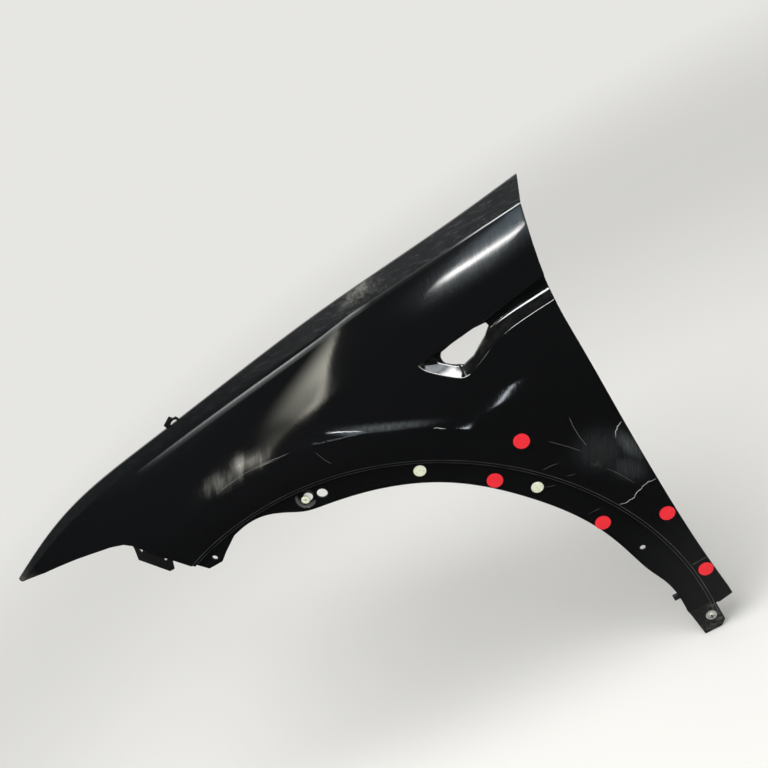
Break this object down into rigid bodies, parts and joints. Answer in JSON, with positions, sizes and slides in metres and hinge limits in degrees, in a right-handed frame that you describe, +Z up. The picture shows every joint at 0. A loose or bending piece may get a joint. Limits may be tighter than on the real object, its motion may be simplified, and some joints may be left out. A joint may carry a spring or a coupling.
{
  "type": "car fender",
  "caption": "Left front fender of a car: bonnet band, nose point, wheel arch with a recessed trim flange, side vent and bolting foot, with its trim clips, screw and round stickers.",
  "frame": {"origin": "centre of the bolting pad, on the back face of the foot that meets the sill", "axes": "+X to the rear of the car along the sill, -Y outboard (the painted side), +Y inboard, +Z up"},
  "size_m": [1.0141, 0.1702, 0.7728],
  "materials": {
    "black_gloss_plastic": "polished black paint on moulded plastic, scuffed",
    "cream_plastic": "plain moulded",
    "zinc_steel": "zinc plated",
    "red_paper": "matt round sticker"
  },
  "bodies": {
    "root": {"fender_panel": "black_gloss_plastic", "foot_screw": "zinc_steel", "trim_clip_1": "cream_plastic", "trim_clip_2": "cream_plastic", "trim_clip_3": "cream_plastic", "marker_dot_1": "red_paper", "marker_dot_2": "red_paper", "marker_dot_3": "red_paper", "marker_dot_4": "red_paper", "marker_dot_5": "red_paper"}
  },
  "joints": []
}
